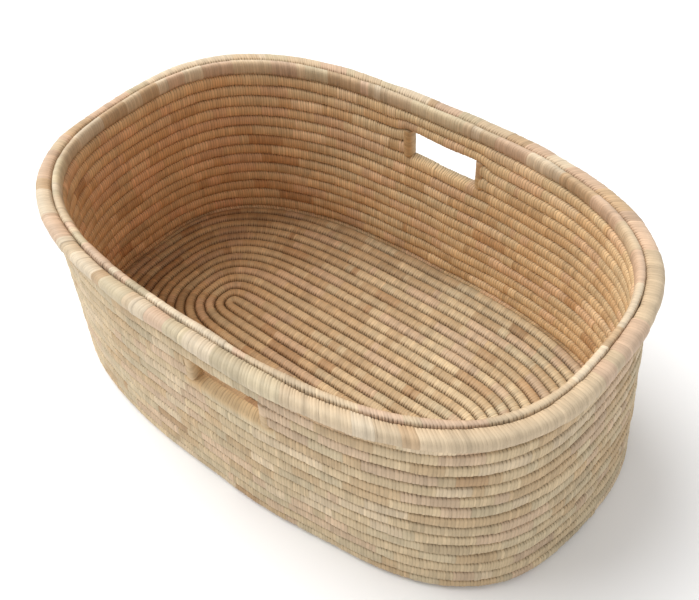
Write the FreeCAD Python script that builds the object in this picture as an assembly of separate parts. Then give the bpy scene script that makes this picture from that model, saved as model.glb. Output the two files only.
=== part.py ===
import FreeCAD, Part
import math
import os

# Moses basket: one long palm-leaf coil, wound out from the middle of the floor and up the wall,
# each course sewn to the one before. Millimetres. X is the long way, Z is up, and the origin is
# on the ground under the middle. Near is the -Y side, far is the +Y side.

# outlines, all ovals of one squareness
base_half_length = 405.0       # outside of the lowest wall course, at the ends
base_half_width = 244.0        # the same at the sides
wall_top_half_length = 382.5   # outside of the top wall course, at the ends
wall_top_half_width = 246.5    # the same at the sides
oval_squareness = 2.8          # 2 is an ellipse, more is squarer
outline_steps = 48             # points each full turn is drawn through

# floor
floor_thickness = 17.0
near_side_courses = 13         # from the core seam to the wall
far_side_courses = 14
core_half_length = 195.0       # straight strand the floor starts from
core_end_sharpness = 6.0       # how suddenly the straight strand gives way to the round ends
core_seam_y = -15.0            # the floor was started a little off the middle
core_seam_depth = 2.5          # groove between the two strands of the first hairpin
core_seam_radius = 4.0
end_steps = 7                  # outline steps from the X axis to where a round end begins
turn_gap_steps = 0.01          # each turn stops this short of the next one's start
last_turn_steps = 28           # the last floor course is full-bodied this far round
tail_steps = 36                # and its thinned tail ends here
tail_thickness = 14.0

# wall
wall_thickness = 17.5
wall_courses = 14              # above the edge course that closes the floor
edge_course_height = 18.0
wall_course_height = 18.3

# rim, two rolls side by side on top of the wall
rim_seam_inset = 7.0           # the seam between the rolls, in from the outside of the wall
inner_roll_width = 10.5
outer_roll_width = 19.0        # overhangs the wall
rim_roll_height = 21.0

# rounding of the coils
floor_rounding = 5.0
core_rounding = 4.0            # the hairpin turns too tightly for more
wall_rounding = 6.0
edge_rounding = 8.0            # under the base, outside
inner_roll_rounding = 5.0
outer_roll_rounding = 9.0

# hand slots, one in each long side, where courses stop at two bound ends
slot_first_course = 11         # lowest course left out
slot_courses = 2               # courses left out
near_slot_length = 100.0       # clear, between the bound ends
near_slot_middle = 50.0        # along X
far_slot_length = 108.0
far_slot_middle = 6.0
far_slot_rise = 7.4            # the far slot also bites this deep into the course above it
binding_width = 13.0           # bound end of a slot, along X
binding_proud = 0.8            # stands this far out of the wall, each face
binding_rounding = 5.0
slot_cut_margin = 20.0         # the slot's cut runs this far past both wall faces

# sizes that follow from the ones above
inner_half_length = base_half_length - wall_thickness
inner_half_width = base_half_width - wall_thickness
wall_top = edge_course_height + wall_courses * wall_course_height
rim_seam_half_length = wall_top_half_length - rim_seam_inset
rim_seam_half_width = wall_top_half_width - rim_seam_inset
slot_bottom = edge_course_height + (slot_first_course - 1) * wall_course_height
near_slot_height = slot_courses * wall_course_height
far_slot_height = near_slot_height + far_slot_rise
step_angle = 2 * math.pi / outline_steps
up = FreeCAD.Vector(0, 0, 1)


def oval_point(half_length, half_width, angle):
    """Point of the oval at this angle from +X, seen from above."""
    along = abs(math.cos(angle) / half_length) ** oval_squareness
    across = abs(math.sin(angle) / half_width) ** oval_squareness
    reach = (along + across) ** (-1 / oval_squareness)
    return FreeCAD.Vector(reach * math.cos(angle), reach * math.sin(angle), 0)


def oval_points(half_length, half_width):
    return [oval_point(half_length, half_width, i * step_angle) for i in range(outline_steps)]


def smooth_step(value):
    """Rises smoothly from 0 to 1 as the value does."""
    value = max(0.0, min(1.0, value))
    return value * value * (3 - 2 * value)


def floor_point(turn, step):
    """Point on the outer edge of a turn of the floor strand.

    Steps count round from the right end, -end_steps to outline_steps - end_steps. The strand
    moves out by one course as it rounds the right end. Elsewhere it keeps its course, an even
    share of the way from the core seam to the wall.
    """
    right_end = smooth_step((step + end_steps) / (2 * end_steps))
    left_end = smooth_step((step - outline_steps / 2 + end_steps) / (2 * end_steps))
    courses_out = turn - 1 + right_end
    extra = far_side_courses - near_side_courses
    courses_to_wall = near_side_courses + extra * (right_end - left_end)
    share = min(1.0, courses_out / courses_to_wall)
    wall = oval_point(inner_half_length, inner_half_width, step * step_angle)
    past_core = abs(wall.x / core_half_length) ** core_end_sharpness
    core = FreeCAD.Vector(wall.x / (1 + past_core) ** (1 / core_end_sharpness), core_seam_y, 0)
    return core + (wall - core) * share


def open_curve(points):
    curve = Part.BSplineCurve()
    curve.interpolate(points)
    return curve.toShape()


def closed_curve(points):
    curve = Part.BSplineCurve()
    curve.interpolate(points, PeriodicFlag=True)
    return curve.toShape()


def long_edges(solid, levels):
    """Edges which run along a coil at one of these heights, not across its ends."""
    found = []
    for edge in solid.Edges:
        box = edge.BoundBox
        flat = box.ZLength < 0.01 and min(abs(box.ZMin - level) for level in levels) < 0.01
        if flat and edge.Length > 2 * wall_thickness:
            found.append(edge)
    return found


def floor_strand(turn, first, last, height, rounding):
    """Stretch of one turn of the floor strand, between two steps round the floor."""
    steps = list(range(first, last)) + [last - turn_gap_steps]
    outer = [floor_point(turn, step) for step in steps]
    inner = [floor_point(turn - 1, step) for step in steps]
    inner.reverse()
    edges = [open_curve(outer), Part.makeLine(outer[-1], inner[0])]
    edges += [open_curve(inner), Part.makeLine(inner[-1], outer[0])]
    solid = Part.Face(Part.Wire(edges)).extrude(up * height)
    if rounding:
        solid = solid.makeFillet(rounding, long_edges(solid, (0, height)))
    return solid


def core_hairpin():
    """First turn: the strand laid double, out along the seam and back."""
    steps = range(-end_steps, outline_steps - end_steps + 1)
    outer = [floor_point(1, step) for step in steps]
    edges = [open_curve(outer), Part.makeLine(outer[-1], outer[0])]
    solid = Part.Face(Part.Wire(edges)).extrude(up * floor_thickness)
    solid = solid.makeFillet(core_rounding, long_edges(solid, (0, floor_thickness)))
    seam_length = outer[0].x + core_half_length
    top_seam_z = floor_thickness - core_seam_depth + core_seam_radius
    for seam_z in (top_seam_z, core_seam_depth - core_seam_radius):
        seam_start = FreeCAD.Vector(-core_half_length, core_seam_y, seam_z)
        along = FreeCAD.Vector(1, 0, 0)
        solid = solid.cut(Part.makeCylinder(core_seam_radius, seam_length, seam_start, along))
    return solid


def oval_coil(outer_points, inner_points, bottom, height, rounding, foot_rounding):
    """Closed coil between two ovals, rounded along its edges, the outer foot by its own amount."""
    lift = up * bottom
    outer = Part.Face(Part.Wire(closed_curve([point + lift for point in outer_points])))
    inner = Part.Face(Part.Wire(closed_curve([point + lift for point in inner_points])))
    solid = outer.extrude(up * height).cut(inner.extrude(up * height))
    feet = long_edges(solid, (bottom,))
    foot = max(feet, key=lambda edge: edge.BoundBox.XLength)
    solid = solid.makeFillet(foot_rounding, [foot])
    rest = long_edges(solid, (bottom + height,))
    if foot_rounding == rounding:
        rest += [edge for edge in long_edges(solid, (bottom,))
                 if edge.BoundBox.XLength < inner.BoundBox.XLength + 1]
    return solid.makeFillet(rounding, rest)


def wall_half_sizes(level):
    """Outside half length and half width of the wall at a height."""
    share = max(0.0, (level - edge_course_height) / (wall_top - edge_course_height))
    half_length = base_half_length + (wall_top_half_length - base_half_length) * share
    half_width = base_half_width + (wall_top_half_width - base_half_width) * share
    return half_length, half_width


def wall_coil(course):
    """Wall course, course 0 being the edge course at the floor."""
    bottom = edge_course_height + (course - 1) * wall_course_height if course else 0
    height = wall_course_height if course else edge_course_height
    half_length, half_width = wall_half_sizes(bottom + height)
    outer = oval_points(half_length, half_width)
    inner = oval_points(half_length - wall_thickness, half_width - wall_thickness)
    foot_rounding = wall_rounding if course else edge_rounding
    return oval_coil(outer, inner, bottom, height, wall_rounding, foot_rounding)


def rim_roll(inside, outside, rounding):
    outer = oval_points(rim_seam_half_length + outside, rim_seam_half_width + outside)
    inner = oval_points(rim_seam_half_length + inside, rim_seam_half_width + inside)
    return oval_coil(outer, inner, wall_top, rim_roll_height, rounding, rounding)


def wall_face_y(x, level):
    """Outside face of the long wall at a place along X and a height."""
    half_length, half_width = wall_half_sizes(level)
    left = 1 - abs(x / half_length) ** oval_squareness
    return half_width * left ** (1 / oval_squareness)


def slot_window(middle, length, height, side):
    """Everything taken out of the wall for a slot and its two bound ends."""
    depth = wall_thickness + 2 * slot_cut_margin
    inside = wall_face_y(middle, slot_bottom + height / 2) - wall_thickness - slot_cut_margin
    y = inside if side > 0 else -inside - depth
    full_length = length + 2 * binding_width
    corner = FreeCAD.Vector(middle - full_length / 2, y, slot_bottom)
    return Part.makeBox(full_length, depth, height, corner)


def slot_binding(middle, length, height, side, end):
    """Bar bound upright in one end of a slot; end is -1 at the left, 1 at the right."""
    middle_x = middle + end * (length + binding_width) / 2
    face_y = wall_face_y(middle_x, slot_bottom + height / 2) + binding_proud
    depth = wall_thickness + 2 * binding_proud
    y = face_y - depth if side > 0 else -face_y
    corner = FreeCAD.Vector(middle_x - binding_width / 2, y, slot_bottom)
    bar = Part.makeBox(binding_width, depth, height, corner)
    mouth_x = middle_x - end * binding_width / 2
    mouth_edges = []
    for edge in bar.Edges:
        upright = edge.BoundBox.ZLength > height - 0.01
        if upright and abs(edge.BoundBox.Center.x - mouth_x) < 0.01:
            mouth_edges.append(edge)
    return bar.makeFillet(binding_rounding, mouth_edges)


parts = {}

# floor, from the core strand outwards
parts["base_core_hairpin"] = core_hairpin()
full_turn = outline_steps - end_steps
for turn in range(2, far_side_courses):
    strand = floor_strand(turn, -end_steps, full_turn, floor_thickness, floor_rounding)
    parts["base_coil_%02d" % turn] = strand
last_turn = floor_strand(far_side_courses, -end_steps, last_turn_steps - end_steps,
                         floor_thickness, floor_rounding)
parts["base_coil_%02d" % far_side_courses] = last_turn
parts["base_coil_tail"] = floor_strand(far_side_courses, last_turn_steps - end_steps,
                                       tail_steps - end_steps, tail_thickness, 0)

# wall, from the edge course up, the slots cut through the courses they cross
slots = {"near": (near_slot_middle, near_slot_length, near_slot_height, -1),
         "far": (far_slot_middle, far_slot_length, far_slot_height, 1)}
for course in range(wall_courses + 1):
    ring = wall_coil(course)
    for slot in slots.values():
        ring = ring.cut(slot_window(*slot))
    pieces = sorted(ring.Solids, key=lambda solid: solid.CenterOfMass.x)
    name = "wall_coil_%02d" % course if course else "base_edge_coil"
    if len(pieces) == 1:
        parts[name] = pieces[0]
    else:
        parts[name + "_left"] = pieces[0]
        parts[name + "_right"] = pieces[-1]

# rim
parts["rim_inner_roll"] = rim_roll(-inner_roll_width, 0, inner_roll_rounding)
parts["rim_outer_roll"] = rim_roll(0, outer_roll_width, outer_roll_rounding)

# bound ends of the slots
for name, slot in slots.items():
    parts[name + "_slot_binding_left"] = slot_binding(*slot, -1)
    parts[name + "_slot_binding_right"] = slot_binding(*slot, 1)

os.makedirs("parts", exist_ok=True)
for name, shape in parts.items():
    solid = shape.Solids[0]
    box = solid.BoundBox
    sizes = "%8.1f %8.1f %8.1f" % (box.XLength, box.YLength, box.ZLength)
    print("%-28s %s  solids %d  valid %s" % (name, sizes, len(shape.Solids), solid.isValid()))
    solid.exportStep("parts/%s.step" % name)
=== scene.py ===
import math

import bpy
import numpy as np
from mathutils import Matrix, Vector


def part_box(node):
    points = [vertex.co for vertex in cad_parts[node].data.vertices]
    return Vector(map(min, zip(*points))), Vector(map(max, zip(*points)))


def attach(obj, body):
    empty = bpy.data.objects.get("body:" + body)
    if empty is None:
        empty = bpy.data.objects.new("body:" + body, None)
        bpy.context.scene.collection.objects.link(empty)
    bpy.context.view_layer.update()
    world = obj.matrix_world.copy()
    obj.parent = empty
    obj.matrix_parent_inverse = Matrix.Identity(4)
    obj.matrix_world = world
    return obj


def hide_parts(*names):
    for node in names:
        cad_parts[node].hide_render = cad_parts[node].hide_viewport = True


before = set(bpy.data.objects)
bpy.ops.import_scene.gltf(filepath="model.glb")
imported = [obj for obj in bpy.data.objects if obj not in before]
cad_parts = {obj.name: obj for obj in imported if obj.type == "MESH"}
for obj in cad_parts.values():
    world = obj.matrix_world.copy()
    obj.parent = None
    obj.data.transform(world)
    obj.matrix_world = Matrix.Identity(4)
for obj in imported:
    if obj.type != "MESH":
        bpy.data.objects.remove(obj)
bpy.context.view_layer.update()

# the whole basket: coils wrapped in palm leaf, metres
basket = {
    "squareness": 2.8,          # of every oval outline, 2 is an ellipse
    "stepsRound": 48,           # the floor spiral is told in steps of a full turn
    "endSteps": 7,              # steps from the long axis to where a round end begins
    "sectionSides": 16,         # corners round a coil's section
    "wallThickness": 0.0175,
    "seed": 41,
}

# far corners of the pieces that everything else is measured from
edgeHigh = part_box("base_edge_coil")[1]
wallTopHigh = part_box("wall_coil_14")[1]
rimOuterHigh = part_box("rim_outer_roll")[1]
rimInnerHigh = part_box("rim_inner_roll")[1]
edgeTop = edgeHigh.z
wallTop = wallTopHigh.z
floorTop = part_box("base_coil_05")[1].z
rimTop = rimOuterHigh.z
wallThickness = basket["wallThickness"]


def smoothStep(value):
    # 0 below 0, 1 above 1, and 3v^2 - 2v^3 between
    value = np.clip(value, 0, 1)
    return value * value * (3 - 2 * value)


def ovalPoint(halfLength, halfWidth, angle):
    # squared-off ellipse: reach = (|cos a / halfLength|^q + |sin a / halfWidth|^q)^(-1/q)
    q = basket["squareness"]
    along = np.abs(np.cos(angle) / halfLength) ** q
    across = np.abs(np.sin(angle) / halfWidth) ** q
    reach = (along + across) ** (-1 / q)
    return np.stack([reach * np.cos(angle), reach * np.sin(angle)], -1)


def strandFrame(outer, inner, bottom, top):
    # middle of the section, its half width pointing outwards and its half height pointing up
    level = np.zeros(outer.shape[:-1])
    flat = np.zeros(outer.shape[:-1] + (1,))
    middle = np.concatenate([(outer + inner) / 2, (level + (bottom + top) / 2)[..., None]], -1)
    across = np.concatenate([(outer - inner) / 2, flat], -1)
    upward = np.stack([level, level, level + (top - bottom) / 2], -1)
    return middle, across, upward


def toLinear(colours):
    # screen colour to linear light: ((c + 0.055) / 1.055)^2.4
    return ((np.asarray(colours, float) + 0.055) / 1.055) ** 2.4


def leafColours(wraps, look, rng):
    # each leaf strip lasts a run of wraps in one palette colour, and each wrap strays a little
    runs = rng.integers(look["leafWraps"][0], look["leafWraps"][1], wraps)
    leaf = np.searchsorted(np.cumsum(runs), np.arange(wraps), side="right")
    weights = np.array([share for _, share in look["leaves"]])
    palette = toLinear([colour for colour, _ in look["leaves"]])
    chosen = palette[rng.choice(len(palette), wraps, p=weights / weights.sum())[leaf]]
    chosen = chosen * (1 + look["leafStray"] * rng.standard_normal(wraps)[leaf])[:, None]
    return chosen * (1 + look["wrapStray"] * rng.standard_normal(wraps))[:, None], leaf


def ringCorners(rings, sides, closed):
    # vertex numbers of the four corners of each face between ring i, i+1 and side j, j+1
    along = np.arange(rings if closed else rings - 1)[:, None]
    around = np.arange(sides)[None, :]
    ahead, beside = (along + 1) % rings, (around + 1) % sides
    rows = [along * sides + around, ahead * sides + around]
    rows += [ahead * sides + beside, along * sides + beside]
    return np.stack(rows, -1)


def cornerPattern(first, second):
    # the same corners as two running measures: along the strand, and round its section
    lengths = np.stack([first[:, None], second[:, None], second[:, None], first[:, None]], -1)
    sides = basket["sectionSides"]
    side = np.arange(sides)[None, :, None] / sides + np.array([0, 0, 1, 1]) / sides
    return np.broadcast_to(lengths, (len(first), sides, 4)), np.broadcast_to(side, (len(first), sides, 4))


def buildMesh(name, points, closed, ringPlace, girth, colours, gapsAndShade):
    rings, sides = points.shape[:2]
    corners = ringCorners(rings, sides, closed)
    spans = len(corners)
    before = ringPlace[:spans]
    after = ringPlace[1:spans + 1]
    along, aroundShare = cornerPattern(before, after)
    strandUv = np.stack([along, aroundShare * girth], -1).reshape(-1, 2)

    # bake layout: the strand folded into rows, one above another
    length = ringPlace[-1]
    rows = max(1, int(round(math.sqrt(length / girth))))
    perRow = math.ceil(spans / rows)
    row = np.arange(spans) // perRow
    within = (np.arange(spans) % perRow)[:, None, None] + np.array([0, 1, 1, 0])
    bakeU = 0.01 + 0.98 * np.broadcast_to(within / perRow, along.shape)
    bakeV = (row[:, None, None] + 0.05 + 0.9 * aroundShare) / rows
    bakeUv = np.stack([bakeU, bakeV], -1).reshape(-1, 2)

    loops = corners.reshape(-1)
    starts = np.arange(0, len(loops), 4)
    if not closed:
        caps = [np.arange(sides), np.arange(rings * sides - 1, (rings - 1) * sides - 1, -1)]
        starts = np.concatenate([starts, [len(loops), len(loops) + sides]])
        loops = np.concatenate([loops] + caps)
        capUv = np.full((2 * sides, 2), 0.004)
        strandUv = np.concatenate([strandUv, capUv])
        bakeUv = np.concatenate([bakeUv, capUv])
    mesh = bpy.data.meshes.new(name)
    mesh.vertices.add(rings * sides)
    mesh.vertices.foreach_set("co", points.reshape(-1).astype(np.float32))
    mesh.loops.add(len(loops))
    mesh.loops.foreach_set("vertex_index", loops.astype(np.int32))
    mesh.polygons.add(len(starts))
    mesh.polygons.foreach_set("loop_start", starts.astype(np.int32))
    mesh.update(calc_edges=True)
    mesh.polygons.foreach_set("use_smooth", np.ones(len(starts), bool))
    for uvName, uv in (("OFBake", bakeUv), ("strand", strandUv)):
        layer = mesh.uv_layers.new(name=uvName)
        layer.data.foreach_set("uv", uv.reshape(-1).astype(np.float32))
    tint = mesh.attributes.new("leafColour", "FLOAT_COLOR", "POINT")
    rgba = np.concatenate([colours.reshape(-1, 3), np.ones((rings * sides, 1))], 1)
    tint.data.foreach_set("color", rgba.reshape(-1).astype(np.float32))
    gap = mesh.attributes.new("gap", "FLOAT", "POINT")
    gap.data.foreach_set("value", gapsAndShade.reshape(-1).astype(np.float32))
    return mesh


# what all wrapped coils share
wrapping = {
    "pathSamples": 2400,
    "grooveSharpness": 1.6,     # how fast a groove sets in past its start
    "mostRelief": 0.003,
    "fullReliefHalfWidth": 0.006,   # relief fades out on a strand thinner than this
    "wanderWaves": 24,
    "phaseSpan": 6.3,           # about a full turn, where a wave may begin
    # painted shade at the edges of wraps is made twice as dark on the inside
    "innerDarkening": 2,        # edges of wraps show twice as dark on the inside
}


def wrappedStrand(name, pathAt, start, end, closed, look, nodes, warp=None, dress=None):
    # a coil: its path cut into wraps, the section carried along, a valley where wraps meet
    rng = np.random.default_rng(basket["seed"] + sum(ord(letter) for letter in name) * 7)
    fine = np.linspace(start, end, wrapping["pathSamples"])
    middle = pathAt(fine)[0]
    travelled = np.concatenate([[0], np.cumsum(np.linalg.norm(np.diff(middle, axis=0), axis=1))])
    length = travelled[-1]
    wraps = max(3, round(length / look["wrapWidth"]))
    widths = 1 + look["widthStray"] * np.clip(rng.standard_normal(wraps), -2, 2)
    edges = np.concatenate([[0], np.cumsum(widths)]) * length / widths.sum()

    # three rings a wrap: on its edge, just inside it, and just inside its far edge
    phases = np.array([0, look["valley"], 1 - look["valley"]])
    places = (edges[:-1, None] + phases * np.diff(edges)[:, None]).reshape(-1)
    onEdge = np.tile([1.0, 0.0, 0.0], wraps)
    owner = np.repeat(np.arange(wraps), 3)
    if not closed:
        places, onEdge, owner = np.append(places, length), np.append(onEdge, 1.0), np.append(owner, wraps - 1)
    before = np.where(onEdge > 0, np.maximum(owner - 1, -wraps if closed else 0), owner)

    # section: x = sgn cos t |cos t|^(2/n), z = sgn sin t |sin t|^(2/n), n from the side's own roundness
    sides = basket["sectionSides"]
    turn = np.arange(sides) * 2 * np.pi / sides
    n = np.where(np.cos(turn) > 0, look["outerSquareness"], look["innerSquareness"])
    if "footSquareness" in look:
        n = np.where((np.cos(turn) > 0) & (np.sin(turn) < 0), look["footSquareness"], n)
    sx = np.sign(np.cos(turn)) * np.abs(np.cos(turn)) ** (2 / n)
    sz = np.sign(np.sin(turn)) * np.abs(np.sin(turn)) ** (2 / n)
    sx[np.abs(np.cos(turn)) < 1e-9] = 0
    sz[np.abs(np.sin(turn)) < 1e-9] = 0

    # a strip crosses the coil on a slant, so its place along the coil follows its height
    lean = look["slant"] + look["slantStray"] * rng.uniform(-1, 1, wraps)
    lean = (lean[owner] + lean[before]) / 2
    place = places[:, None] + lean[:, None] * np.where(sx > 0, sz, -sz) * look["wrapWidth"]
    place = place % length if closed else np.clip(place, 0, length)
    centre, across, upward = pathAt(np.interp(place, travelled, fine))

    # stitches pull the wraps down along the grooves named for this coil
    reach = (1 - look["grooveStart"]) / wrapping["grooveSharpness"]
    near = [look["grooves"].get(side, 0) * smoothStep((toward - look["grooveStart"]) / reach)
            for side, toward in (("out", sx), ("in", -sx), ("up", sz), ("down", -sz))]
    groove = np.max(near, axis=0)[None, :]
    stitch = np.clip(1 + look["stitchStray"] * rng.standard_normal(wraps), 0.1, 1.5)[owner][:, None]
    edge = onEdge[:, None]
    colours, leaf = leafColours(wraps, look, rng)
    fullness = look["leafSwell"] * rng.standard_normal(wraps)[leaf]
    fullness = (fullness[owner] + fullness[before]) / 2
    swell = (look["swell"] * rng.standard_normal(wraps)[owner] * (1 - onEdge) + fullness)[:, None]
    relief = swell - edge * (look["ribDepth"] + look["stitchDepth"] * groove * stitch)
    # slow wander in thickness, whole waves on a closed coil so that it meets itself
    pace = 2 * np.pi / length if closed else look["openWander"]
    wander = sum(rng.normal() * np.sin(places * pace * k + rng.uniform(0, wrapping["phaseSpan"]))
                 for k in range(1, wrapping["wanderWaves"])) / 4
    relief = relief + look["wander"] * wander[:, None]
    covered = np.zeros_like(place) if dress is None else dress(centre) * smoothStep(sz * 2 + 0.4)[None, :]
    relief = relief * (1 - look["coverShare"] * covered)

    # out along the section's own normal, which is (|x|^(n-1), |z|^(n-1)) with the signs of x and z
    nx = np.sign(sx) * np.abs(sx) ** (n - 1)
    nz = np.sign(sz) * np.abs(sz) ** (n - 1)
    size = np.hypot(nx, nz)
    acrossHalf = np.maximum(np.linalg.norm(across, axis=-1, keepdims=True), 1e-5)
    upwardHalf = np.maximum(np.linalg.norm(upward, axis=-1, keepdims=True), 1e-5)
    relief = np.minimum(relief, wrapping["mostRelief"])[..., None]
    points = centre + across * look["plump"] * sx[:, None] + upward * look["plump"] * sz[:, None]
    thin = np.clip(acrossHalf / wrapping["fullReliefHalfWidth"], 0, 1)
    outward = across / acrossHalf * (nx / size)[:, None] + upward / upwardHalf * (nz / size)[:, None]
    points = points + relief * thin * outward
    if warp is not None:
        points = warp(points)

    # inner faces get painted light and shade by place: darker and browner towards the near left, where shade
    # falls, and paler and bluer towards the far right, where the light falls; the inner tint on top is partly
    # the leaf's own warmer colour and partly painted warm bounce light
    perRing = (colours[owner] + colours[before]) / 2
    inward = np.ones((1, sides, 1)) if look["tintAllRound"] else smoothStep(0.5 - sx * 1.4)[None, :, None]
    toFarRight = centre[..., :1] + 0.5 * centre[..., 1:2]
    litShare = smoothStep((toFarRight - look["tintFrom"]) / (look["tintTo"] - look["tintFrom"]))
    paintedLightAndShade = np.array(look["leftTint"]) * (1 - litShare) + np.array(look["rightTint"]) * litShare
    colours = perRing[:, None, :] * (1 - inward + inward * np.array(look["innerTint"]) * paintedLightAndShade)
    hidden = look["coverShare"] * covered
    colours = colours + hidden[..., None] * (toLinear(look["coverColour"]) - colours)
    # painted shade: the groove between coils is darkened by grooveShade and the wrap edges by edgeShade; the
    # stitch holes along the groove are dark joints of the leaf
    edgeShade = look["edgeShade"] * (1 + (wrapping["innerDarkening"] - 1) * smoothStep(-sx * 2)[None, :])
    gapsAndShade = np.clip(groove * (look["grooveShade"] + edge * stitch) + edge * edgeShade, 0, 1) * (1 - hidden)
    girth = 4 * float(acrossHalf.mean() + upwardHalf.mean()) * 0.9
    ringPlace = np.append(places, length) if closed else places
    mesh = buildMesh(name, points, closed, ringPlace, girth, colours, gapsAndShade)
    piece = bpy.data.objects.new(name, mesh)
    bpy.context.scene.collection.objects.link(piece)
    mesh.materials.append(look["material"])
    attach(piece, "root")
    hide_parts(*nodes)
    return piece


def leafMaterial(name, look):
    # wrapped palm leaf: fine fibres run with each strip, brown where strips part and where painted shade lies
    # in the grooves and along the wrap edges
    material = bpy.data.materials.new(name)
    material.use_nodes = True
    nodes, links = material.node_tree.nodes, material.node_tree.links
    shader = nodes["Principled BSDF"]

    def node(kind, **settings):
        made = nodes.new(kind)
        for key, value in settings.items():
            setattr(made, key, value)
        return made

    colour = node("ShaderNodeAttribute", attribute_name="leafColour")
    gap = node("ShaderNodeAttribute", attribute_name="gap")
    strand = node("ShaderNodeUVMap", uv_map="strand")
    place = node("ShaderNodeTexCoord")

    def noise(source, scale, detail, rough):
        # noise stretched by its own scale in each direction
        mapping = node("ShaderNodeMapping")
        mapping.inputs["Scale"].default_value = scale
        links.new(source, mapping.inputs["Vector"])
        made = node("ShaderNodeTexNoise")
        made.inputs["Scale"].default_value = 1
        made.inputs["Detail"].default_value = detail
        made.inputs["Roughness"].default_value = rough
        links.new(mapping.outputs["Vector"], made.inputs["Vector"])
        return made.outputs["Fac"]

    def spread(source, low, high, fromLow=0.3, fromHigh=0.7):
        made = node("ShaderNodeMapRange")
        for key, value in (("From Min", fromLow), ("From Max", fromHigh), ("To Min", low), ("To Max", high)):
            made.inputs[key].default_value = value
        links.new(source, made.inputs["Value"])
        return made.outputs["Result"]

    def times(first, second):
        made = node("ShaderNodeVectorMath", operation="MULTIPLY")
        links.new(first, made.inputs[0])
        links.new(second, made.inputs[1])
        return made.outputs["Vector"]

    fibres = noise(strand.outputs["UV"], (look["fibresPerMetre"], 55, 1), 3, 0.6)
    blotches = noise(place.outputs["Object"], (look["blotches"],) * 3, 4, 0.6)
    streaks = spread(fibres, 1 - look["fibreContrast"], 1 + look["fibreContrast"])
    tinted = times(colour.outputs["Color"], streaks)
    tinted = times(tinted, spread(blotches, 1 - look["blotchContrast"], 1 + look["blotchContrast"]))
    shade = node("ShaderNodeMix", data_type="RGBA")
    shade.inputs["B"].default_value = (*toLinear(look["gapColour"]), 1)
    links.new(tinted, shade.inputs["A"])
    links.new(spread(gap.outputs["Fac"], 0, look["gapStrength"], 0, 1), shade.inputs["Factor"])
    links.new(shade.outputs["Result"], shader.inputs["Base Color"])
    links.new(spread(fibres, look["roughness"] - 0.08, look["roughness"] + 0.08), shader.inputs["Roughness"])
    shader.inputs["Specular IOR Level"].default_value = look["gloss"]
    bump = node("ShaderNodeBump")
    bump.inputs["Strength"].default_value = 0.7
    bump.inputs["Distance"].default_value = look["fibreHeight"]
    links.new(fibres, bump.inputs["Height"])
    links.new(bump.outputs["Normal"], shader.inputs["Normal"])
    return material


# wall: courses stacked on the edge coil, beige outside and warmer inside, the inside partly the leaf's own
# colour and partly painted warm bounce light and shade
straw, green, cream = (0.785, 0.70, 0.565), (0.77, 0.70, 0.575), (0.81, 0.73, 0.61)
pink, tan, brown = (0.78, 0.68, 0.565), (0.75, 0.65, 0.51), (0.71, 0.59, 0.45)
leafFinish = {
    "fibresPerMetre": 1500, "fibreContrast": 0.09, "fibreHeight": 0.0003,
    "blotches": 45, "blotchContrast": 0.08,
    # dark brown for the gaps between strips and for the painted shade in grooves and at wrap edges
    "gapColour": (0.29, 0.18, 0.09), "gapStrength": 1.0,
    "roughness": 0.62, "gloss": 0.3,
}
wallCoils = {
    "wrapWidth": 0.0040, "widthStray": 0.18, "valley": 0.21, "slant": 0.1, "slantStray": 0.12,
    "outerSquareness": 4.6, "innerSquareness": 3.2, "plump": 1.03,
    "ribDepth": 0.0003, "swell": 0.00016, "leafSwell": 0.0003, "wander": 0.0004,
    "grooves": {"up": 0.3, "down": 1.0}, "grooveStart": 0.7,
    "stitchDepth": 0.0015, "stitchStray": 0.5, "grooveShade": 0.05, "edgeShade": 0.20,
    "leafWraps": (2, 17), "leafStray": 0.05, "wrapStray": 0.06,
    # painted shade on inner faces towards the near left and painted light towards the far right, blended
    # between tintFrom and tintTo
    "leftTint": (0.99, 0.86, 0.745), "rightTint": (1.05, 1.12, 1.16), "tintFrom": -0.37, "tintTo": 0.06,
    "leaves": ((straw, 5), (green, 3.5), (cream, 1.5), (pink, 3), (tan, 2.5), (brown, 0.3)),
    # inner faces warmer: partly the leaf's own colour, partly painted warm bounce light
    "tintAllRound": False, "openWander": 2.7,       # ripples a coil with ends, radians a metre
    "innerTint": (1.22, 1.035, 0.88),
    "coverColour": (0.77, 0.62, 0.42), "coverShare": 0.5,
    "slot": "wall_leaf", "material": leafMaterial("wallLeaf", leafFinish),
}


def wallHalfSizes(level):
    # straight line between the lowest and the top course
    return (np.interp(level, (edgeTop, wallTop), (edgeHigh.x, wallTopHigh.x)),
            np.interp(level, (edgeTop, wallTop), (edgeHigh.y, wallTopHigh.y)))


def wallPath(bottom, top):
    halfLength, halfWidth = wallHalfSizes(top)

    def pathAt(angle):
        outer = ovalPoint(halfLength, halfWidth, angle)
        inner = ovalPoint(halfLength - wallThickness, halfWidth - wallThickness, angle)
        return strandFrame(outer, inner, bottom, top)
    return pathAt


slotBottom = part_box("near_slot_binding_left")[0].z
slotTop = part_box("near_slot_binding_left")[1].z
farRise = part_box("far_slot_binding_left")[1].z - slotTop
slotEnds = {side: (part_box(side + "_slot_binding_left"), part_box(side + "_slot_binding_right"))
            for side in ("near", "far")}
waveRng = np.random.default_rng(basket["seed"])
waves = [(k, waveRng.uniform(0, wrapping["phaseSpan"]), waveRng.uniform(-14, 14), waveRng.normal() / k ** 0.5)
         for k in range(2, 14)]        # waves round, where they begin, lean with height, size
handWork = {
    "riseOfWaves": 0.0010, "bulgeOfWaves": 0.0010,
    "flats": ((5.34, 0.20, 0.0055), (6.06, 0.17, 0.0055)),   # angle, reach round, depth at the foot
    "calmFoot": 0.06, "calmTop": 0.04,      # waves fade out this near the floor and the rim
    "bowReach": 0.02, "bowBlend": 0.03,     # how far past the far slot the courses above it bow up
}


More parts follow.
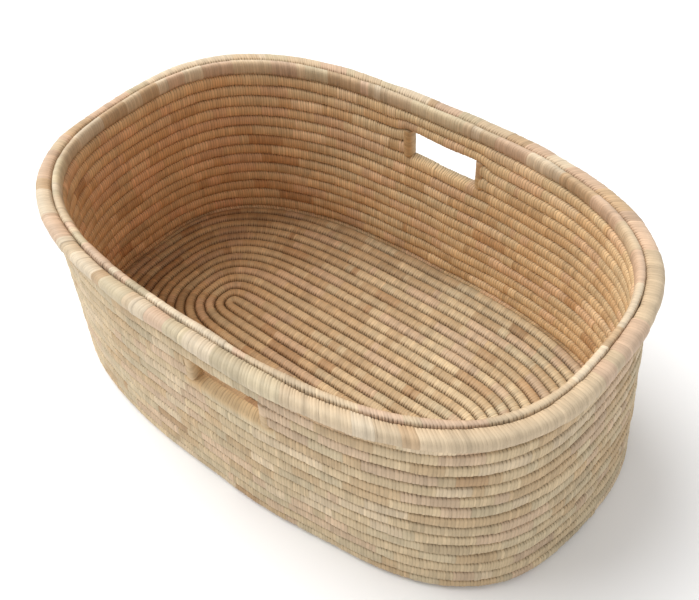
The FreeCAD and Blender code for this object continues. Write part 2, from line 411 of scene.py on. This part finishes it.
def handLaid(points):
    # slow waves in the courses, two flats towards the foot, and the far slot's upper edge bowed up
    x, y, z = points[..., 0], points[..., 1], points[..., 2]
    angle = np.arctan2(y, x)
    wave = sum(size * np.sin(k * angle + lean * z + begin) for k, begin, lean, size in waves) / 2
    free = smoothStep(z / handWork["calmFoot"]) * smoothStep((wallTop - z) / handWork["calmTop"])
    farLeft, farRight = slotEnds["far"][0][0], slotEnds["far"][1][1]
    reach, blend = handWork["bowReach"], handWork["bowBlend"]
    over = smoothStep((x - farLeft.x + reach) / blend) * smoothStep((farRight.x + reach - x) / blend)
    below, above = (z - slotBottom) / (slotTop - slotBottom), (wallTop - z) / (wallTop - slotTop)
    share = np.where(z < slotTop, below, above)
    moved = points.copy()
    moved[..., 2] += handWork["riseOfWaves"] * wave * free + farRise * over * np.clip(share, 0, 1) * (y > 0)
    push = handWork["bulgeOfWaves"] * wave * free
    for middle, spreadRound, depth in handWork["flats"]:
        away = (angle - middle + np.pi) % (2 * np.pi) - np.pi
        push = push - depth * np.exp(-(away / spreadRound) ** 2) * np.clip(1 - z / wallTop, 0, 1)
    outward = points[..., :2] / np.linalg.norm(points[..., :2], axis=-1, keepdims=True)
    moved[..., :2] += outward * push[..., None]
    return moved


def sillDress(centre):
    # under the near slot one smooth golden leaf lies along the coil's top
    x, y = centre[..., 0], centre[..., 1]
    left, right = slotEnds["near"][0][0].x, slotEnds["near"][1][1].x
    blend = 0.004
    inside = smoothStep((x - left + blend) / blend) * smoothStep((right + blend - x) / blend)
    return inside * (y < 0)


def angleAt(x, side, level):
    # where an upright cut at x meets the wall: y = w (1 - |x/l|^q)^(1/q)
    halfLength, halfWidth = wallHalfSizes(level)
    q = basket["squareness"]
    y = side * halfWidth * (1 - abs(x / halfLength) ** q) ** (1 / q)
    return math.atan2(y, x) % (2 * math.pi)


intoBinding = 0.004             # coil ends run this far into the bound ends
for node in sorted(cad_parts):
    if not node.startswith(("wall_coil", "base_edge_coil")):
        continue
    low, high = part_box(node)
    path = wallPath(low.z, high.z)
    name = "wallCourse_" + node.replace("wall_coil_", "") if "wall" in node else "edgeCourse"
    dress = sillDress if abs(high.z - slotBottom) < 0.001 else None
    look = dict(wallCoils, footSquareness=2.0) if name == "edgeCourse" else wallCoils
    if node.endswith("left"):
        begin = angleAt(slotEnds["far"][0][0].x + intoBinding, 1, high.z)
        end = angleAt(slotEnds["near"][0][0].x + intoBinding, -1, high.z)
        wrappedStrand(name, path, begin, end, False, look, [node], handLaid)
    elif node.endswith("right"):
        begin = angleAt(slotEnds["near"][1][1].x - intoBinding, -1, high.z)
        end = angleAt(slotEnds["far"][1][1].x - intoBinding, 1, high.z) + 2 * math.pi
        wrappedStrand(name, path, begin, end, False, look, [node], handLaid)
    else:
        wrappedStrand(name, path, 0, 2 * math.pi, True, look, [node], handLaid, dress)
print("wall courses laid")


def floorTint(colour, by=(1.01, 1.0, 0.97)):
    return tuple(part * share for part, share in zip(colour, by))


# floor: one strand spiralling out from a hairpin
floorCoils = dict(wallCoils)
floorCoils.update({
    "coreHalfLength": 0.195, "coreSharpness": 6, "seamY": -0.015,
    "nearCourses": 13, "farCourses": 14, "tailStart": 28, "tailEnd": 36, "tailHeight": 0.011,
    "fullHeightWidth": 0.011,       # a strand narrower than this is lower too
    "outerSquareness": 2.7, "innerSquareness": 2.7, "plump": 1.01, "wrapWidth": 0.0038,
    "ribDepth": 0.0003, "swell": 0.00015, "wander": 0.0002, "leafSwell": 0.00015,
    "grooves": {"out": 0.8, "in": 0.8}, "grooveStart": 0.65,
    "stitchDepth": 0.0006, "grooveShade": 0.36, "edgeShade": 0.16,
    "leaves": ((floorTint(straw), 4), (floorTint(green), 1), (floorTint(pink), 2),
               (floorTint(tan), 4), (floorTint(brown), 1)),
    "tintAllRound": True, "innerTint": (1, 1, 1),
    # floor: painted shadow of the left wall towards the left, painted direct light towards the right
    "leftTint": (0.95, 0.76, 0.60), "rightTint": (1.08, 1.13, 1.21), "tintFrom": -0.35, "tintTo": 0.28,
    "slot": "floor_leaf",
    "material": leafMaterial("floorLeaf", dict(leafFinish, gapColour=(0.34, 0.21, 0.10))),
})


def floorEdge(turn, step):
    # share of the way from the core seam to the wall: one course further out with each turn
    ends, count = basket["endSteps"], basket["stepsRound"]
    rightEnd = smoothStep((step + ends) / (2 * ends))
    leftEnd = smoothStep((step - count / 2 + ends) / (2 * ends))
    coursesOut = turn - 1 + rightEnd
    extra = floorCoils["farCourses"] - floorCoils["nearCourses"]
    coursesToWall = floorCoils["nearCourses"] + extra * (rightEnd - leftEnd)
    share = np.clip(coursesOut / coursesToWall, 0, 1)[..., None]
    wall = ovalPoint(edgeHigh.x - wallThickness, edgeHigh.y - wallThickness, step * 2 * np.pi / count)
    past = np.abs(wall[..., 0] / floorCoils["coreHalfLength"]) ** floorCoils["coreSharpness"]
    coreX = wall[..., 0] / (1 + past) ** (1 / floorCoils["coreSharpness"])
    core = np.stack([coreX, np.full(coreX.shape, floorCoils["seamY"])], -1)
    return core + (wall - core) * share


def floorPath(turn):
    def pathAt(step):
        outer, inner = floorEdge(turn, step), floorEdge(turn - 1, step)
        width = np.linalg.norm(outer - inner, axis=-1)
        height = floorTop * np.clip(width / floorCoils["fullHeightWidth"], 0.05, 1) ** 0.5
        if turn == floorCoils["farCourses"]:
            tailSteps = floorCoils["tailEnd"] - floorCoils["tailStart"]
            done = (step + basket["endSteps"] - floorCoils["tailStart"]) / tailSteps
            height = np.minimum(height, floorTop - (floorTop - floorCoils["tailHeight"]) * smoothStep(done))
        return strandFrame(outer, inner, 0 * height, height)
    return pathAt


firstStep = -basket["endSteps"]
lastStep = basket["stepsRound"] - basket["endSteps"]
for turn in range(1, floorCoils["farCourses"] + 1):
    nodes = ["base_core_hairpin"] if turn == 1 else ["base_coil_%02d" % turn]
    stop = lastStep
    if turn == floorCoils["farCourses"]:
        nodes.append("base_coil_tail")
        stop = floorCoils["tailEnd"] - basket["endSteps"]
    wrappedStrand("floorTurn_%02d" % turn, floorPath(turn), firstStep, stop, False, floorCoils, nodes)
print("floor strand wound")

# rim: two fat rolls side by side, sewn together along the groove between them
rimRolls = dict(wallCoils)
rimRolls.update({
    "wrapWidth": 0.0037, "valley": 0.14, "slant": 0.05, "slantStray": 0.1,
    "outerSquareness": 2.4, "innerSquareness": 2.4, "plump": 1.0,
    "ribDepth": 0.00022, "swell": 0.00012, "wander": 0.0004, "leafSwell": 0.0003,
    "grooveStart": 0.6, "stitchDepth": 0.0016, "grooveShade": 0.05, "edgeShade": 0.11,
    "leafWraps": (3, 16),
    "leaves": (((0.785, 0.705, 0.59), 4), ((0.77, 0.71, 0.595), 2), ((0.82, 0.755, 0.655), 4),
               ((0.785, 0.68, 0.58), 3), ((0.745, 0.64, 0.51), 1.5)),
    # rim inner faces slightly darker and warmer, partly leaf colour and partly painted shade; painted shade
    # to the left and painted light to the right
    "innerTint": (1.0, 0.93, 0.86), "leftTint": (0.98, 0.95, 0.92), "rightTint": (0.97, 0.98, 0.99),
    "slot": "rim_leaf", "material": leafMaterial("rimLeaf", leafFinish),
})
seamHalfLength, seamHalfWidth = rimInnerHigh.x, rimInnerHigh.y
outerRollWidth = rimOuterHigh.y - seamHalfWidth
innerRollWidth = seamHalfWidth - (wallTopHigh.y - wallThickness)
for node, inside, outside, groove in (("rim_inner_roll", -innerRollWidth, 0, "out"),
                                    ("rim_outer_roll", 0, outerRollWidth, "in")):
    rollLook = dict(rimRolls)
    rollLook["grooves"] = {groove: 1.0 if groove == "in" else 0.5, "down": 0.6}
    rollLook["innerSquareness" if groove == "in" else "outerSquareness"] = 3.6

    def rollPath(angle, inside=inside, outside=outside):
        outer = ovalPoint(seamHalfLength + outside, seamHalfWidth + outside, angle)
        inner = ovalPoint(seamHalfLength + inside, seamHalfWidth + inside, angle)
        return strandFrame(outer, inner, wallTop, rimTop)
    wrappedStrand(node.replace("_r", "R"), rollPath, 0, 2 * math.pi, True, rollLook, [node])
print("rim rolled")

# bound ends of the hand slots: an upright core wrapped in smooth tan strip
slotBindings = dict(wallCoils)
slotBindings.update({
    "wrapWidth": 0.006, "valley": 0.1, "slant": 0.2,
    "outerSquareness": 3.6, "innerSquareness": 3.2, "plump": 0.98,
    "ribDepth": 0.0002, "swell": 0.0001, "wander": 0, "leafSwell": 0.0001, "grooves": {},
    "edgeShade": 0.15, "leafWraps": (2, 5),
    "leaves": ((tan, 3), (straw, 3), (pink, 1)),
    # inner faces of the bound ends darker: partly the leaf's own colour, partly painted shade inside the
    # basket
    "innerTint": (0.84, 0.72, 0.56),
    "slot": "binding_leaf", "material": leafMaterial("bindingLeaf", dict(leafFinish, fibreContrast=0.1)),
})
for side, sign in (("near", -1), ("far", 1)):
    for end in ("left", "right"):
        node = side + "_slot_binding_" + end
        low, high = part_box(node)

        def barPath(level, low=low, high=high, sign=sign):
            level = np.asarray(level, float)
            zero = np.zeros(level.shape)
            middle = np.stack([zero + (low.x + high.x) / 2, zero + (low.y + high.y) / 2, level], -1)
            across = np.stack([zero, zero + sign * (high.y - low.y) / 2, zero], -1)
            upward = np.stack([zero + sign * (high.x - low.x) / 2, zero, zero], -1)
            return middle, across, upward
        # far bound ends: inner faces given the wall's inner colour with its painted warm light
        look = dict(slotBindings, innerTint=(0.96, 0.79, 0.63)) if side == "far" else slotBindings
        wrappedStrand(side + "SlotEnd_" + end, barPath, low.z, high.z, False, look, [node])
print("slots bound")

# room: pale floor, soft light, viewpoint
studio = {
    "floorSize": 60, "floorDrop": 0.0016, "floorColour": (0.94, 0.94, 0.94),
    "sky": 0.69, "skyColour": (1, 1, 1),
    "keyStrength": 2.88, "keyFrom": (-1.15, -0.12, 1.5), "keySpread": 55,
    "azimuth": 41.824, "elevation": 46.046, "roll": -3.5006,
    "distance": 1.43154, "aim": (-0.068813, 0.104486, 0), "lens": 48.577,
}
bpy.context.scene.view_settings.view_transform = "Standard"
half = studio["floorSize"] / 2
floorMesh = bpy.data.meshes.new("studioFloor")
ground = -studio["floorDrop"]
corners = [(-half, -half, ground), (half, -half, ground), (half, half, ground), (-half, half, ground)]
floorMesh.from_pydata(corners, [], [(0, 1, 2, 3)])
studioFloor = bpy.data.objects.new("studioFloor", floorMesh)
bpy.context.scene.collection.objects.link(studioFloor)
paper = bpy.data.materials.new("palePaper")
paper.use_nodes = True
paperShader = paper.node_tree.nodes["Principled BSDF"]
paperShader.inputs["Base Color"].default_value = (*studio["floorColour"], 1)
paperShader.inputs["Roughness"].default_value = 0.9
paperShader.inputs["Specular IOR Level"].default_value = 0.1
floorMesh.materials.append(paper)

world = bpy.data.worlds.new("softRoom")
world.use_nodes = True
world.node_tree.nodes["Background"].inputs["Color"].default_value = (*studio["skyColour"], 1)
world.node_tree.nodes["Background"].inputs["Strength"].default_value = studio["sky"]
bpy.context.scene.world = world

# one broad soft light, high on the left
key = bpy.data.lights.new("keyLight", "SUN")
key.energy = studio["keyStrength"]
key.angle = math.radians(studio["keySpread"])
keyObject = bpy.data.objects.new("keyLight", key)
keyObject.rotation_mode = "QUATERNION"
keyObject.rotation_quaternion = Vector(studio["keyFrom"]).to_track_quat("Z", "Y")
bpy.context.scene.collection.objects.link(keyObject)

# viewpoint from compass angle, height angle, roll and distance
azimuth, elevation, roll = (math.radians(studio[name]) for name in ("azimuth", "elevation", "roll"))
back = np.array([math.sin(azimuth) * math.cos(elevation), -math.cos(azimuth) * math.cos(elevation),
                 math.sin(elevation)])
level = np.array([math.cos(azimuth), math.sin(azimuth), 0])
upright = np.cross(back, level)
rightward = level * math.cos(roll) + upright * math.sin(roll)
upward = -level * math.sin(roll) + upright * math.cos(roll)
eye = np.array(studio["aim"]) + back * studio["distance"]
camera = bpy.data.cameras.new("viewpoint")
camera.lens = studio["lens"]
camera.sensor_width = 36
viewpoint = bpy.data.objects.new("viewpoint", camera)
turned = np.stack([rightward, upward, back], -1).tolist()
viewpoint.matrix_world = Matrix([[*row, place] for row, place in zip(turned, eye)] + [[0, 0, 0, 1]])
bpy.context.scene.collection.objects.link(viewpoint)
bpy.context.scene.camera = viewpoint
print("room lit")
